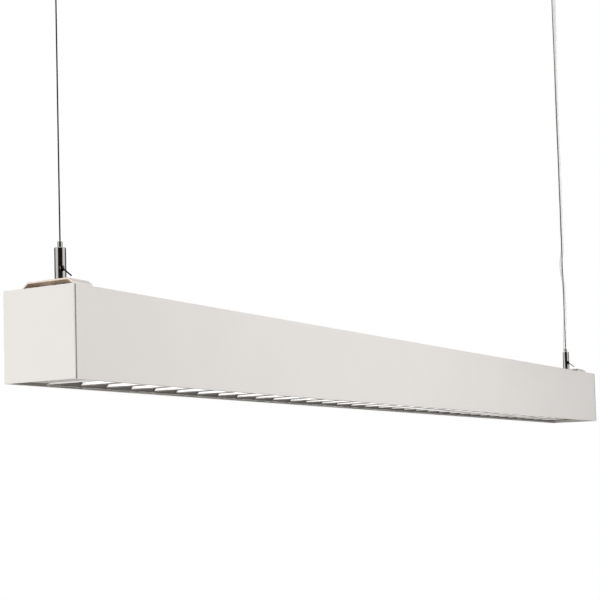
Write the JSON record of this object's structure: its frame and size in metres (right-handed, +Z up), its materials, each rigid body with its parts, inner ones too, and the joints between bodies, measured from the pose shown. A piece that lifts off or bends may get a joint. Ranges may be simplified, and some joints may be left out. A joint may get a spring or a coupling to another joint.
{
  "type": "linear pendant light",
  "caption": "Long square-section linear pendant light with a cross-blade louver below, hung on steel wires with adjustable wire grippers and a power cord that hangs beside one of them.",
  "frame": {"origin": "on the ceiling, midway between the two ceiling screws", "axes": "+X along the light to the power cord's end, +Y across it, +Z up"},
  "size_m": [1.5, 0.085, 0.878],
  "materials": {
    "white_paint": "satin white powder coat",
    "white_reflector": "matt white enamel",
    "satin_aluminium": "satin anodised",
    "polished_nickel": "polished nickel plate",
    "steel": "bright zinc plate or plain stainless",
    "brass": "machined",
    "lamp_glass": "phosphor-coated tube, opaque white",
    "lamp_cap_metal": "pressed, bright",
    "white_plastic": "moulded, semi-gloss",
    "ballast_case": "white enamelled sheet case",
    "cord_sheath": "white flexible sheath",
    "lead_insulation": "insulated wire"
  },
  "bodies": {
    "ceiling": {"left_ceiling_base": "white_plastic", "right_ceiling_base": "white_plastic", "left_ceiling_cap": "white_paint", "right_ceiling_cap": "white_paint", "supply_block": "white_plastic"},
    "suspension": {"left_wire": "steel", "right_wire": "steel", "left_wire_stop": "polished_nickel", "right_wire_stop": "polished_nickel", "power_cord": "cord_sheath"},
    "left_release": {"left_gripper_plunger": "polished_nickel", "left_gripper_jaws": "brass"},
    "right_release": {"right_gripper_plunger": "polished_nickel", "right_gripper_jaws": "brass"},
    "louver": {"louver_far_reflector": "satin_aluminium", "louver_near_reflector": "satin_aluminium", "louver_blades": "white_reflector", "louver_end_plates": "white_reflector", "louver_hinge_pins": "steel"},
    "lamp": {"lamp_tube": "lamp_glass", "lamp_caps": "lamp_cap_metal", "lamp_pins": "brass", "left_rotor": "white_plastic", "right_rotor": "white_plastic"},
    "luminaire": {"housing": "white_paint", "left_end_cap": "white_paint", "right_end_cap": "white_paint", "left_end_cover": "white_paint", "right_end_cover": "white_paint", "left_suspension_bracket": "white_paint", "right_suspension_bracket": "white_paint", "upper_reflector": "white_reflector", "left_gripper_body": "polished_nickel", "right_gripper_body": "polished_nickel", "left_wire_tail": "steel", "right_wire_tail": "steel", "left_gripper_spring": "steel", "right_gripper_spring": "steel", "gripper_washers": "steel", "gripper_nuts": "steel", "bracket_screws": "steel", "gear_screws": "steel", "louver_catches": "steel", "gear_tray": "steel", "left_lampholder": "white_plastic", "right_lampholder": "white_plastic", "terminal_block": "white_plastic", "cord_gland": "white_plastic", "ballast": "ballast_case", "left_lamp_leads": "lead_insulation", "right_lamp_leads": "lead_insulation", "mains_leads": "lead_insulation", "supply_leads": "lead_insulation"}
  },
  "joints": [
    {"name": "swing", "type": "hinge", "parent": "ceiling", "child": "suspension", "pos_m": [0, 0, -0.0104], "axis": [1, 0, 0], "range_deg": [-8, 8]},
    {"name": "height_adjust", "type": "slide", "parent": "suspension", "child": "luminaire", "axis": [0, 0, 1], "range_m": [0, 0.5], "deforming": ["left_wire", "right_wire", "power_cord"]},
    {"name": "louver_hinge", "type": "hinge", "parent": "luminaire", "child": "louver", "pos_m": [0, 0.0345, -0.874], "axis": [1, 0, 0], "range_deg": [0, 86]},
    {"name": "lamp_turn", "type": "hinge", "parent": "luminaire", "child": "lamp", "pos_m": [0, 0, -0.843], "axis": [1, 0, 0], "range_deg": [0, 90]},
    {"name": "left_release_press", "type": "slide", "parent": "luminaire", "child": "left_release", "axis": [0, 0, -1], "range_m": [0, 0.0022], "stiffness_N_per_m": 400, "springref_m": -0.003, "deforming": ["left_gripper_spring"]},
    {"name": "right_release_press", "type": "slide", "parent": "luminaire", "child": "right_release", "axis": [0, 0, -1], "range_m": [0, 0.0022], "stiffness_N_per_m": 400, "springref_m": -0.003, "deforming": ["right_gripper_spring"]}
  ]
}
